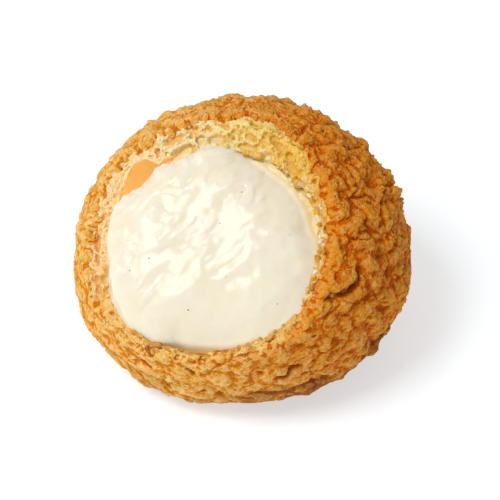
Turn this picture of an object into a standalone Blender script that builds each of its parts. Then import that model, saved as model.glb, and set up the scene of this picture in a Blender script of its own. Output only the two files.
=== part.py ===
"""A cream puff: a round choux bun under a crisp biscuit crust, sliced open high on its front left.

The bun stands on the XY plane and its front faces -Y. Two solids make it. The choux shell is a
closed ball with a flat foot, hollowed out and sliced by one slanting plane. The custard fills the
hollow and bulges out of the slice, with a gap to the wall along its upper left side.
Everything is in metres.
"""

import math

import bmesh
import bpy
from mathutils import Matrix, Vector, noise

# The bun
WIDTH = 0.0785
DEPTH = 0.0760
HEIGHT = 0.0570
BELLY_HEIGHT = 0.0235  # the widest level of the bun
BELLY_FULLNESS = 2.1  # 2 is an ellipse, more is squarer

# The foot: the roll of bare choux below the crust
FOOT_RADIUS = 0.0265  # where the underside turns up
FOOT_CREASE_HEIGHT = 0.0125
FOOT_CREASE_TILT = 0.06  # rise for each metre to the right
FOOT_CREASE_DEPTH = 0.0011
FOOT_CREASE_WIDTH = 0.0016
FOOT_ROLL_DROP = 0.0048  # from the crease down to the roll's fullest level
FOOT_ROLL_WIDTH = 0.0032
FOOT_ROLL_SIZE = 0.0006

# Lumps of the crust
LUMP_SIZE = 0.0105
LUMP_HEIGHT = 0.0007
KNOB_SIZE = 0.0050
KNOB_HEIGHT = 0.0006

# Broad swellings of the crust: degrees round from the front to the right, degrees up, spread, height
SWELLINGS = (
    (-72.0, -18.0, 15.0, 0.0012),
    (-40.0, -40.0, 16.0, 0.0013),
    (45.0, -38.0, 24.0, -0.0003),
    (118.0, 28.0, 22.0, -0.0006),
    (-120.0, 30.0, 20.0, -0.0009),
    (90.0, -2.0, 24.0, 0.0006),
    (175.0, 42.0, 24.0, 0.0008),
)

# The slice, measured from the middle of the bun
SLICE_DISTANCE = 0.0227
SLICE_UP = 53.5  # degrees above level
SLICE_LEFT = 22.5  # degrees left of the front

# The hollow
WALL = 0.0034
FOOT_WALL = 0.0050

# The wall's thickness at the slice: degrees round it, thickness
WALL_ROUND_SLICE = (
    (-155.0, 0.0033),
    (-125.0, 0.0024),
    (-90.0, 0.0026),
    (-45.0, 0.0022),
    (12.0, 0.0048),
    (60.0, 0.0032),
    (115.0, 0.0044),
    (160.0, 0.0019),
)

# The custard
GAP = 0.0003
MOUND_TOP = 0.0260  # from the middle of the bun, along the slice's axis
MOUND_EDGE = 5.0  # 2 is a round edge, more is a sharper one

# The mound in the slice: degrees round it, the mound's radius, the level of the groove round it
MOUND_ROUND_SLICE = (
    (-150.0, 0.0305, 0.0190),
    (-90.0, 0.0310, 0.0190),
    (-30.0, 0.0310, 0.0190),
    (5.0, 0.0242, 0.0205),
    (35.0, 0.0208, 0.0210),
    (80.0, 0.0202, 0.0205),
    (112.0, 0.0230, 0.0180),
    (145.0, 0.0235, 0.0120),
    (168.0, 0.0265, 0.0120),
    (-175.0, 0.0295, 0.0160),
)

SHARP_FROM = 30.0  # degrees between faces
SHELL_STEPS = 5
INSIDE_SIDES, INSIDE_RINGS = 54, 30

MIDDLE = Vector((0.0, 0.0, BELLY_HEIGHT))


def slice_axes():
    """The slice's own axes: right along it, up along it, and out of it."""
    up, left = math.radians(SLICE_UP), math.radians(SLICE_LEFT)
    out = Vector(
        (-math.cos(up) * math.sin(left), -math.cos(up) * math.cos(left), math.sin(up))
    )
    right = Vector((0.0, 0.0, 1.0)).cross(out).normalized()
    return right, out.cross(right), out


SLICE_RIGHT, SLICE_RISE, SLICE_OUT = slice_axes()


def bell(distance, spread):
    """1 at no distance, falling smoothly to 0 over a few spreads."""
    return math.exp(-0.5 * (distance / spread) ** 2)


def ease(share):
    """From 0 to 1, starting and ending gently."""
    share = min(max(share, 0.0), 1.0)
    return share * share * (3.0 - 2.0 * share)


def ball_radius(direction, width, depth, above, below):
    """Distance from the middle to a rounded ball in that direction."""
    half_height = above if direction.z > 0 else below
    total = (
        abs(direction.x / (width / 2)) ** BELLY_FULLNESS
        + abs(direction.y / (depth / 2)) ** BELLY_FULLNESS
        + abs(direction.z / half_height) ** BELLY_FULLNESS
    )
    return total ** (-1.0 / BELLY_FULLNESS)


def depth_below():
    """Half height of the lower ball, so that the table cuts it at the foot's radius."""
    share = 1.0 - (FOOT_RADIUS / (WIDTH / 2)) ** BELLY_FULLNESS
    return BELLY_HEIGHT / share ** (1.0 / BELLY_FULLNESS)


def swelling(direction):
    """How far the broad swellings lift the crust in that direction."""
    total = 0.0
    for around, up, spread, height in SWELLINGS:
        around, up = math.radians(around), math.radians(up)
        middle = Vector(
            (
                math.cos(up) * math.sin(around),
                -math.cos(up) * math.cos(around),
                math.sin(up),
            )
        )
        total += height * bell(math.degrees(direction.angle(middle)), spread)
    return total


def crust_point(direction):
    """The point of the baked surface in that direction from the middle."""
    reach = ball_radius(
        direction, WIDTH, DEPTH, HEIGHT - BELLY_HEIGHT, depth_below()
    )
    point = direction * reach
    above_crease = (
        point.z + BELLY_HEIGHT - FOOT_CREASE_HEIGHT - FOOT_CREASE_TILT * point.x
    )
    lift = swelling(direction)
    lift -= FOOT_CREASE_DEPTH * bell(above_crease, FOOT_CREASE_WIDTH)
    lift += FOOT_ROLL_SIZE * bell(above_crease + FOOT_ROLL_DROP, FOOT_ROLL_WIDTH)
    on_crust = 1.0 / (1.0 + math.exp(-above_crease / FOOT_CREASE_WIDTH))
    lift += on_crust * LUMP_HEIGHT * noise.noise(point / LUMP_SIZE)
    lift += on_crust * KNOB_HEIGHT * noise.noise(point / KNOB_SIZE)
    point = point + direction * lift + MIDDLE
    point.z = max(point.z, 0.0)
    return point


def slice_bearing(direction):
    """Degrees round the slice, anticlockwise from its right, as seen from in front of it."""
    return math.degrees(
        math.atan2(direction.dot(SLICE_RISE), direction.dot(SLICE_RIGHT))
    )


def read_round(table, bearing):
    """The values for a bearing, easing from each row of the table to the next, all the way round."""
    for row, following in zip(table, table[1:] + table[:1]):
        span = (following[0] - row[0]) % 360.0
        along = (bearing - row[0]) % 360.0
        if along <= span:
            share = ease(along / span)
            return [a + (b - a) * share for a, b in zip(row[1:], following[1:])]


def hollow_radius(direction):
    """Distance from the middle to the wall's inner side."""
    (wall_at_slice,) = read_round(WALL_ROUND_SLICE, slice_bearing(direction))
    wall = WALL + (wall_at_slice - WALL) * ease(2.0 * direction.dot(SLICE_OUT))
    return ball_radius(
        direction,
        WIDTH - 2 * wall,
        DEPTH - 2 * wall,
        HEIGHT - BELLY_HEIGHT - wall,
        BELLY_HEIGHT - FOOT_WALL,
    )


def custard_radius(direction):
    """Distance from the middle to the custard's surface.

    The custard reaches the wall, except where the mound in the slice, or the floor of the groove
    round it, lies lower.
    """
    wall_reach = hollow_radius(direction) - GAP
    rise = direction.dot(SLICE_OUT)
    if rise <= 0.0:
        return wall_reach
    across = math.sqrt(max(0.0, 1.0 - rise * rise))
    mound_radius, floor = read_round(MOUND_ROUND_SLICE, slice_bearing(direction))
    mound = (
        (across / mound_radius) ** MOUND_EDGE + (rise / MOUND_TOP) ** MOUND_EDGE
    ) ** (-1.0 / MOUND_EDGE)
    return min(wall_reach, max(mound, floor / rise))


def new_object(name, mesh, collection):
    made = bpy.data.objects.new(name, mesh)
    collection.objects.link(made)
    return made


def new_collection(name):
    made = bpy.data.collections.new(name)
    bpy.context.scene.collection.children.link(made)
    return made


def sphere_mesh(name, sides, rings):
    """A unit sphere whose poles lie on the slice's axis."""
    shape = bmesh.new()
    bmesh.ops.create_uvsphere(shape, u_segments=sides, v_segments=rings, radius=1.0)
    turn = Matrix((SLICE_RIGHT, SLICE_RISE, SLICE_OUT)).transposed().to_4x4()
    bmesh.ops.transform(shape, matrix=turn, verts=shape.verts)
    mesh = bpy.data.meshes.new(name)
    shape.to_mesh(mesh)
    shape.free()
    return mesh


def shaped_sphere(name, radius_of, collection):
    """A sphere pushed out to radius_of(direction) from the bun's middle."""
    mesh = sphere_mesh(name, INSIDE_SIDES, INSIDE_RINGS)
    for vertex in mesh.vertices:
        direction = vertex.co.normalized()
        vertex.co = MIDDLE + direction * radius_of(direction)
    return new_object(name, mesh, collection)


def make_bun(collection):
    """The whole bun, before it is hollowed and sliced."""
    shape = bmesh.new()
    bmesh.ops.create_icosphere(shape, subdivisions=SHELL_STEPS, radius=1.0)
    for vertex in shape.verts:
        vertex.co = crust_point(vertex.co.normalized())
    mesh = bpy.data.meshes.new("choux_shell")
    shape.to_mesh(mesh)
    shape.free()
    return new_object("choux_shell", mesh, collection)


def make_slice_cutter(collection):
    """A drum whose lower face is the plane of the slice."""
    reach = max(WIDTH, DEPTH)
    mesh = bpy.data.meshes.new("slice_cutter")
    shape = bmesh.new()
    bmesh.ops.create_cone(
        shape,
        cap_ends=True,
        segments=48,
        radius1=reach,
        radius2=reach,
        depth=reach,
    )
    shape.to_mesh(mesh)
    shape.free()
    cutter = new_object("slice_cutter", mesh, collection)
    cutter.rotation_mode = "QUATERNION"
    cutter.rotation_quaternion = SLICE_OUT.to_track_quat("Z", "Y")
    cutter.location = MIDDLE + SLICE_OUT * (SLICE_DISTANCE + reach / 2)
    return cutter


def hide(cutter):
    cutter.hide_render = True
    cutter.display_type = "WIRE"


def cut(target, cutter):
    modifier = target.modifiers.new("cut " + cutter.name, "BOOLEAN")
    modifier.operation = "DIFFERENCE"
    modifier.object = cutter
    hide(cutter)


def material(name, colour, roughness):
    made = bpy.data.materials.new(name)
    made.use_nodes = True
    made.diffuse_color = (*colour, 1.0)
    shader = made.node_tree.nodes["Principled BSDF"]
    shader.inputs["Base Color"].default_value = (*colour, 1.0)
    shader.inputs["Roughness"].default_value = roughness
    shader.inputs["Metallic"].default_value = 0.0
    return made


def main():
    for old in list(bpy.data.objects):
        bpy.data.objects.remove(old)
    puff = new_collection("cream_puff")
    cutters = new_collection("cutters")

    shell = make_bun(puff)
    hollow = shaped_sphere("hollow_cutter", hollow_radius, cutters)
    cut(shell, hollow)
    cut(shell, make_slice_cutter(cutters))
    shell.data.materials.append(material("baked_crust", (0.62, 0.30, 0.07), 0.75))

    custard = shaped_sphere("custard", custard_radius, puff)
    custard.data.materials.append(material("custard", (0.90, 0.83, 0.66), 0.30))
    for made in (shell, custard):
        made.data.shade_smooth()
        made.data.set_sharp_from_angle(angle=math.radians(SHARP_FROM))


main()
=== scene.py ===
import math
import random

import bmesh
import bpy
import numpy as np
from mathutils import Matrix, Vector, noise


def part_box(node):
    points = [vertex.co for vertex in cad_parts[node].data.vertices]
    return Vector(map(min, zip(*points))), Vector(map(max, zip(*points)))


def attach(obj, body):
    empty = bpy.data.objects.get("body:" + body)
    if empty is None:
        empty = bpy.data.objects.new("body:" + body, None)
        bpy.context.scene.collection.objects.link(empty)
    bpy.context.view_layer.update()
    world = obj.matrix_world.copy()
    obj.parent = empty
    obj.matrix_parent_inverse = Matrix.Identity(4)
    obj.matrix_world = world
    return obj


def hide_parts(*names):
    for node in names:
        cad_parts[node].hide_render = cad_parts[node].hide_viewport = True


# A cream puff: a choux bun under a crumbly biscuit crust, sliced open high on its front left and
# filled with custard cream. Metres, +Z up, front towards -Y.

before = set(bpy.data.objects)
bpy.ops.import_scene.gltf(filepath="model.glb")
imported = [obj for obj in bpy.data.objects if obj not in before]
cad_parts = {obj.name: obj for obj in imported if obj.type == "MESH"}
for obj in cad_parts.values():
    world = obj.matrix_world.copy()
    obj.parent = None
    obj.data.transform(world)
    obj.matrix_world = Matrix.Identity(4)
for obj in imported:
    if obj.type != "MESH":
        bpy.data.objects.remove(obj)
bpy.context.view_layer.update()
shellLow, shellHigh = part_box("choux_shell")
print("frame loaded")


# form of the bun

swellRoom = (0.001212, 0.000352, 0.000037)  # what the swellings and lumps add to the ball's box

bun = {
    "width": shellHigh.x - shellLow.x - swellRoom[0],
    "depth": shellHigh.y - shellLow.y - swellRoom[1],
    "height": shellHigh.z - shellLow.z - swellRoom[2],
    "bellyShare": 0.4123,
    "reach": 0.0385,  # from the middle to the crust, about
    "fullness": 2.1,
    "footRadius": 0.0265,
    "creaseHeight": 0.0125,
    "creaseTilt": 0.06,
    "creaseDepth": 0.0007,
    "creaseWidth": 0.0016,
    "rollDrop": 0.0048,
    "rollWidth": 0.0032,
    "rollSize": 0.0006,
    "lumpSize": 0.0105,
    "lumpHeight": 0.0007,
    "knobSize": 0.005,
    "knobHeight": 0.0006,
    # degrees round from the front to the right, degrees up, spread, height
    "swellings": (
        (-72, -18, 15, 0.0012), (-40, -40, 16, 0.0013), (45, -38, 24, -0.0003), (118, 28, 22, -0.0006),
        (-120, 30, 20, -0.0009), (90, -2, 24, 0.0006), (175, 42, 24, 0.0008),
    ),
    "wall": 0.0034,
    "footWall": 0.005,
}
bun["belly"] = bun["bellyShare"] * bun["height"]
middle = np.array((0.0, 0.0, bun["belly"]))

slicing = {
    "distance": 0.0227,
    "up": 53.5,
    "left": 22.5,
    # degrees round the slice, wall's thickness there
    "wall": (
        (-165, 0.0045), (-148, 0.0044), (-138, 0.0034), (-128, 0.0023), (-115, 0.0016), (-105, 0.0015),
        (-95, 0.0018), (-85, 0.0021), (-67, 0.0024), (-49, 0.0027), (-30, 0.0035), (-8, 0.0046), (10, 0.0045),
        (24, 0.0043), (40, 0.004), (59, 0.004), (75, 0.004), (90, 0.0041), (105, 0.004), (118, 0.0041),
        (126, 0.0043), (134, 0.004), (143, 0.0042), (149, 0.0044), (154, 0.0024), (161, 0.0022), (172, 0.0032),
        (184, 0.0043),
    ),
}


def unit(vectors):
    return vectors / np.linalg.norm(vectors, axis=-1, keepdims=True)


sliceUp, sliceLeft = math.radians(slicing["up"]), math.radians(slicing["left"])
sliceOut = np.array(
    (-math.cos(sliceUp) * math.sin(sliceLeft), -math.cos(sliceUp) * math.cos(sliceLeft), math.sin(sliceUp))
)
sliceRight = unit(np.cross((0.0, 0.0, 1.0), sliceOut))
sliceRise = np.cross(sliceOut, sliceRight)


def bell(distance, spread):
    return np.exp(-0.5 * (distance / spread) ** 2)


def ease(share):
    share = np.clip(share, 0.0, 1.0)
    return share * share * (3.0 - 2.0 * share)


def between(value, start, end):
    # 0 at start, 1 at end, gently
    return ease((value - start) / (end - start))


def towards(around, up):
    # unit vector: degrees round from the front to the right, degrees up
    around, up = np.radians(around), np.radians(up)
    return np.stack((np.cos(up) * np.sin(around), -np.cos(up) * np.cos(around), np.sin(up)), -1)


def patch(dirs, around, up, spread):
    # a soft round patch on the bun
    apart = np.degrees(np.arccos(np.clip(dirs @ towards(around, up), -1.0, 1.0)))
    return bell(apart, spread)


noise.seed_set(4)  # without it noise_vector takes its seed from the clock


def noiseAt(points, size, shift=0.0):
    return np.array([noise.noise(p) for p in (points / size + shift).tolist()])


def swirlAt(points, size, shift=0.0):
    return np.array([tuple(noise.noise_vector(p)) for p in (points / size + shift).tolist()])


def warped(points, size, shift, amount):
    return points + swirlAt(points, size, shift) * amount


def cellsAt(points, size, shift=0.0):
    # distance to the nearest and second nearest cell centre in cell sizes, and a random number for the cell
    found = [noise.voronoi(p) for p in (points / size + shift).tolist()]
    near = np.array([(d[0], d[1]) for d, c in found])
    lot = np.array([noise.cell(c[0] * 7.31) for d, c in found])
    return near[:, 0], near[:, 1], lot - np.floor(lot)


def pebblesAt(points, size, shift=0.0):
    # rounded grains of mixed height, 0 in the gaps between them
    near, _, lot = cellsAt(points, size, shift)
    return np.sqrt(np.clip(1 - (near / 0.8) ** 2, 0, 1)) * (0.35 + 0.65 * lot)


def lumpsAt(points, size, shift, soft):
    # rounded lumps with creases between them, the creases sharper where soft is small
    value = noiseAt(points, size, shift)
    return 2.4 * (np.sqrt(value ** 2 + soft ** 2) - soft)


def bowlsAt(points, size, shift, share):
    # round bubbles of mixed size, cut open: 1 at the bottom, 0 between them
    near, _, lot = cellsAt(points, size, shift)
    radius = 0.3 + 0.28 * ((lot * 7.7) % 1.0)
    return np.sqrt(np.clip(1 - (near / radius) ** 2, 0, 1)) * (lot < share)


def readRound(table, bearing):
    # the values for each bearing, easing from row to row all the way round
    rows = np.array(sorted((row[0] % 360.0, *row[1:]) for row in table))
    spots = np.append(rows[:, 0], rows[0, 0] + 360.0)
    values = np.vstack((rows[:, 1:], rows[:1, 1:]))
    at = (bearing - spots[0]) % 360.0 + spots[0]
    index = np.clip(np.searchsorted(spots, at, side="right") - 1, 0, len(rows) - 1)
    share = ease((at - spots[index]) / (spots[index + 1] - spots[index]))[:, None]
    return (values[index] + (values[index + 1] - values[index]) * share).T


def bearingOf(vectors):
    return np.degrees(np.arctan2(vectors @ sliceRise, vectors @ sliceRight))


def fromAxis(vectors):
    # degrees from the slice's axis
    return np.degrees(np.arccos(np.clip(unit(vectors) @ sliceOut, -1.0, 1.0)))


def apartRound(bearing, centre):
    # degrees between two bearings, whichever way is shorter
    return np.abs((bearing - centre + 180) % 360 - 180)


def offAxis(vectors):
    # the part of each vector that lies in the slice's plane
    return vectors - np.outer(vectors @ sliceOut, sliceOut)


def sliceDirs(bearing, polar):
    bearing, polar = np.radians(bearing), np.radians(polar)
    side = np.cos(bearing)[:, None] * sliceRight + np.sin(bearing)[:, None] * sliceRise
    return np.cos(polar)[:, None] * sliceOut + np.sin(polar)[:, None] * side


def ballRadius(dirs, width, depth, above, below):
    full = bun["fullness"]
    halfHeight = np.where(dirs[:, 2] > 0, above, below)
    total = (
        np.abs(dirs[:, 0] / (width / 2)) ** full
        + np.abs(dirs[:, 1] / (depth / 2)) ** full
        + np.abs(dirs[:, 2] / halfHeight) ** full
    )
    return total ** (-1.0 / full)


def bunRadius(dirs):
    # distance from the middle to the baked surface, and the height above the crease
    full, half = bun["fullness"], bun["width"] / 2
    below = bun["belly"] / (1.0 - (bun["footRadius"] / half) ** full) ** (1.0 / full)
    reach = ballRadius(dirs, bun["width"], bun["depth"], bun["height"] - bun["belly"], below)
    point = dirs * reach[:, None]
    aboveCrease = point[:, 2] + bun["belly"] - bun["creaseHeight"] - bun["creaseTilt"] * point[:, 0]
    lift = sum(height * patch(dirs, around, up, spread) for around, up, spread, height in bun["swellings"])
    lift = lift - bun["creaseDepth"] * bell(aboveCrease, bun["creaseWidth"])
    lift = lift + bun["rollSize"] * bell(aboveCrease + bun["rollDrop"], bun["rollWidth"])
    onCrust = 1.0 / (1.0 + np.exp(np.clip(-aboveCrease / bun["creaseWidth"], -60, 60)))
    lift = lift + onCrust * bun["lumpHeight"] * noiseAt(point, bun["lumpSize"])
    lift = lift + onCrust * bun["knobHeight"] * noiseAt(point, bun["knobSize"])
    return reach + lift, aboveCrease


def hollowRadius(dirs):
    (atSlice,) = readRound(slicing["wall"], bearingOf(dirs))
    wall = bun["wall"] + (atSlice - bun["wall"]) * between(dirs @ sliceOut, 0.25, 0.52)
    return ballRadius(
        dirs, bun["width"] - 2 * wall, bun["depth"] - 2 * wall,
        bun["height"] - bun["belly"] - wall, bun["belly"] - bun["footWall"],
    )


def softMin(a, b, blend):
    share = np.clip(0.5 + 0.5 * (b - a) / blend, 0.0, 1.0)
    return b * (1 - share) + a * share - blend * share * (1 - share)


def intoBox(points, margin=0.0006):
    # eases what would stand out of the solid's box back into it
    for axis in range(3):
        for sign, limit in ((1, shellHigh[axis]), (-1, -shellLow[axis])):
            value = points[:, axis] * sign
            over = value - (limit - margin)
            eased = limit - margin * np.exp(-np.maximum(over, 0) / margin)
            points[:, axis] = sign * np.where(over > 0, eased, value)
    points[:, 2] = np.maximum(points[:, 2], 0.0)
    return points


def tone(red, green, blue):
    # a colour on the 0 to 255 scale as the shader wants it
    values = [v / 255.0 for v in (red, green, blue)]
    return [v / 12.92 if v <= 0.04045 else ((v + 0.055) / 1.055) ** 2.4 for v in values] + [1.0]


# mesh helpers


def unitBall(steps):
    shape = bmesh.new()
    bmesh.ops.create_icosphere(shape, subdivisions=steps, radius=1.0)
    return shape


def denser(shape, wanted):
    # cuts each wanted face of a unit ball into four
    centres = unit(np.array([face.calc_center_median() for face in shape.faces]))
    for edge in shape.edges:
        edge.tag = False
    for face, yes in zip(shape.faces, wanted(centres)):
        if yes:
            for edge in face.edges:
                edge.tag = True
    bmesh.ops.subdivide_edges(shape, edges=[e for e in shape.edges if e.tag], cuts=1, use_grid_fill=True)
    bmesh.ops.triangulate(shape, faces=[face for face in shape.faces if len(face.verts) > 3])
    for vertex in shape.verts:
        vertex.co.normalize()


def linked(name, data):
    made = bpy.data.objects.new(name, data)
    bpy.context.scene.collection.objects.link(made)
    return made


def makeObject(name, shape):
    mesh = bpy.data.meshes.new(name)
    shape.to_mesh(mesh)
    shape.free()
    mesh.shade_smooth()
    return linked(name, mesh)


def pointsOf(mesh):
    points = np.empty(len(mesh.vertices) * 3)
    mesh.vertices.foreach_get("co", points)
    return points.reshape(-1, 3)


def setPoints(mesh, points):
    mesh.vertices.foreach_set("co", points.ravel())
    mesh.update()


def normalsOf(mesh):
    normals = np.empty(len(mesh.vertices) * 3)
    mesh.vertices.foreach_get("normal", normals)
    return normals.reshape(-1, 3)


def edgesOf(mesh):
    edges = np.empty(len(mesh.edges) * 2, int)
    mesh.edges.foreach_get("vertices", edges)
    return edges.reshape(-1, 2)


def smoothed(values, edges, rounds):
    count = np.bincount(edges.ravel(), minlength=len(values)).astype(float)
    for _ in range(rounds):
        total = np.bincount(edges[:, 0], values[edges[:, 1]], len(values))
        total += np.bincount(edges[:, 1], values[edges[:, 0]], len(values))
        values = 0.5 * values + 0.5 * total / count
    return values


def setMasks(mesh, **masks):
    for name, values in masks.items():
        layer = mesh.attributes.new(name, "FLOAT", "POINT")
        layer.data.foreach_set("value", np.clip(values, -4.0, 4.0).astype(np.float32))


def readMask(mesh, name):
    values = np.empty(len(mesh.vertices), np.float32)
    mesh.attributes[name].data.foreach_get("value", values)
    return values


def setColours(mesh, name, colours):
    layer = mesh.attributes.new(name, "FLOAT_COLOR", "POINT")
    layer.data.foreach_set("color", colours.astype(np.float32).ravel())


def finer(values, edges, rounds):
    # what stands out of its surroundings
    return values - smoothed(values, edges, rounds)


def strokeAt(dirs, path):
    # distance in metres from a line drawn on the bun, which side of it, and how far along from its middle
    corners = towards(*np.array(path, float).T)
    best, side, along = np.full(len(dirs), 1.0), np.zeros(len(dirs)), np.zeros(len(dirs))
    for step, (start, end) in enumerate(zip(corners, corners[1:])):
        line = end - start
        share = np.clip((dirs - start) @ line / (line @ line), 0.0, 1.0)
        apart = np.linalg.norm(dirs - start - share[:, None] * line, axis=1)
        nearer = apart < best
        best = np.where(nearer, apart, best)
        side = np.where(nearer, np.sign(dirs @ np.cross(start, end)), side)
        along = np.where(nearer, (step + share) / (len(corners) - 1), along)
    return best * bun["reach"], side, np.abs(2 * along - 1)


# crust and foot

crust = {
    "edgeBand": 0.12,  # share of the fold that makes the lip
    "skinShare": 0.5,  # of the wall, behind the lip
    "edgeRagged": 1.6,  # degrees
    "rimBlend": 0.0018,
    "overRim": 0.0006,
    # degrees round the slice, degrees from its axis where the crust ends
    "edge": (
        (-165, 52.8), (-146, 54.6), (-123, 56), (-107, 55), (-89, 53), (-69, 52.8), (-54, 53.4), (-41, 53.4),
        (-28, 51.4), (-13, 49.8), (0, 48.4), (18, 47.6), (33, 47.8), (49, 49.4), (66, 52.6), (83, 56.4), (94, 54.2),
        (105, 52), (115, 51.4), (125, 49.2), (145, 51), (165, 52.2), (179, 52.6),
    ),
    # how strong the nodules are: round, up, spread, strength on top of the plain one
    "plainRelief": 0.34,
    "relief": (
        (80, 28, 30, 0.66), (135, 35, 30, 0.5), (60, 8, 18, 0.3), (178, 42, 22, 0.25), (-150, 20, 40, 0.2),
    ),
    "lumps": (0.0044, 0.0009),  # size, height
    "grit": (0.0008, 0.00012),
    # pebbles: size, height, the size, shift and amount of the swirl that bends them, shift
    "nodules": (0.005, 0.0009, (0.0045, 5.0, 0.0012), 0.0),
    "clumps": (0.0027, 0.00055, (0.0022, 2.0, 0.0006), 3.0),
    "rounded": (0.0036, 0.0006, (0.0036, 3.0, 0.001), 5.0),
    "knuckles": (0.0013, 0.00016, (0.002, 9.0, 0.0003), 0.0),
    "sink": 0.0005,
    # faces are cut finer past this share of the way to the edge and above this height over the crease
    "denser": ((0.84, -0.0125), (0.87, -0.002)),
    "footHidden": (-62, 78, 50),  # degrees round, and how far from there it is quite plain and quite hidden
    # a darker patch low on the front right: browning, with painted shade under the crease
    "scorchedAndShaded": (45, -26, 34),  # round, up, spread
    # where the crust is browner and darker, deeper baking with painted shade on the side away from the lamp: round,
    # up
    "bakedMost": (84, 22),
    # each crack: its path (round, up), width, depth, and how far its ledge stands out
    "cracks": (
        (((52, 26.5), (47.3, 22.7), (44.2, 20.5), (39.4, 20.2), (34.3, 20.6), (29.5, 21.3)), 0.0007, 0.002, 0.0009),
        (((10.5, -8.5), (15.6, -6.8), (17.6, -4), (22.5, -3.4)), 0.0005, 0.0017, 0.0004),
        (((110, 37), (108, 42), (112, 47)), 0.0006, 0.0018, 0),
        (((100, 8), (99, 16), (101, 26)), 0.0005, 0.0012, 0.0004),
        (((-35, 0.5), (-32.6, -0.7), (-30.5, -2.8)), 0.0006, 0.0016, 0.0003),
        (((-36.5, -7), (-33.8, -7.7), (-31, -8.4)), 0.0004, 0.0015, 0.0002),
        (((-20, -4.2), (-18.1, -6.1), (-16.6, -8.6)), 0.0004, 0.0014, 0.0002),
    ),
    # each pit: round, up, spread, depth
    "pits": (
        (51, -10, 3, 0.0013), (172, 44, 2.2, 0.0016), (158, 45, 2, 0.0012), (63, 14.5, 1.6, 0.0013),
        (62.5, 22.5, 1.7, 0.0013), (88, 37, 1.8, 0.0014), (80, 9, 2.2, 0.0013), (-13.5, 1.6, 1.3, 0.0012),
        (-30, -18, 2.2, 0.0008), (-8.5, -19.7, 0.9, 0.0013), (33, 4, 1.2, 0.0012),
    ),
}


def crustEdge(bearing):
    # degrees from the slice's axis where the ragged edge of the crust runs
    (edge,) = readRound(crust["edge"], bearing)
    onEdge = sliceDirs(bearing, edge) * 0.035
    return edge + crust["edgeRagged"] * (noiseAt(onEdge, 0.0035, 4.0) + 0.7 * noiseAt(onEdge, 0.0013, 2.0))


def crustForm(dirs):
    # the crust's smooth outer face, rounded over on to the slice
    radius, aboveCrease = bunRadius(dirs)
    rise = np.maximum(dirs @ sliceOut, 0.05)
    overSlice = (slicing["distance"] + crust["overRim"]) / rise
    overSlice = np.where(dirs @ sliceOut > 0.3, overSlice, 1.0)
    return softMin(radius, overSlice, crust["rimBlend"]), aboveCrease


def footShare(dirs):
    # how plainly the bare foot shows: fully on the right and behind, hardly at the front left
    around = np.degrees(np.arctan2(dirs[:, 0], -dirs[:, 1]))
    middleAt, plain, hidden = crust["footHidden"]
    return 1 - 0.9 * between(apartRound(around, middleAt), plain, hidden)


def bentPebbles(points, kind):
    # height of this kind, and its grains
    size, height, bend, shift = crust[kind]
    return height, pebblesAt(warped(points, *bend), size, shift)


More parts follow.
